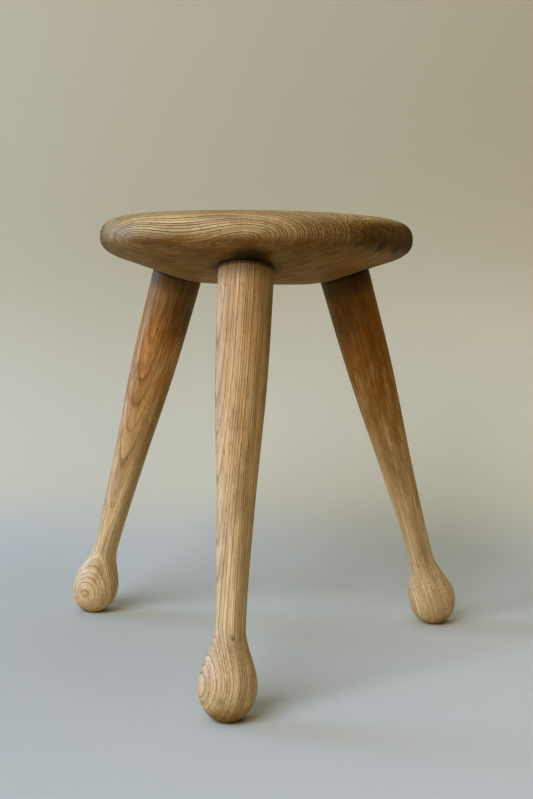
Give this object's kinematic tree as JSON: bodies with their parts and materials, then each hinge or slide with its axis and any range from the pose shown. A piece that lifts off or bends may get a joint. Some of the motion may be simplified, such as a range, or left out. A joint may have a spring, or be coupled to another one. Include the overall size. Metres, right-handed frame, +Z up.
{
  "type": "milking stool",
  "caption": "Low round stool: a thick seat with rounded edges on splayed, tapering turned legs with ball feet.",
  "frame": {"origin": "on the floor, at the centre of the stool's plan box; the seat's axis stands 42.9 mm behind it", "axes": "+Z up, the front leg points along -Y, +X to the right as seen from the front"},
  "size_m": [0.4149, 0.3858, 0.419],
  "materials": {
    "seat_wood": "weathered pine, darkened and dry, raised rings, satin where worn",
    "leg_wood": "aged pine turned smooth, fine straight grain, matt to satin",
    "wedge_wood": "old hardwood, planed flush with the seat"
  },
  "bodies": {
    "root": {"seat_board_front": "seat_wood", "seat_board_back": "seat_wood", "leg_front": "leg_wood", "leg_right": "leg_wood", "leg_left": "leg_wood", "wedge_front": "wedge_wood", "wedge_right": "wedge_wood", "wedge_left": "wedge_wood"}
  },
  "joints": []
}
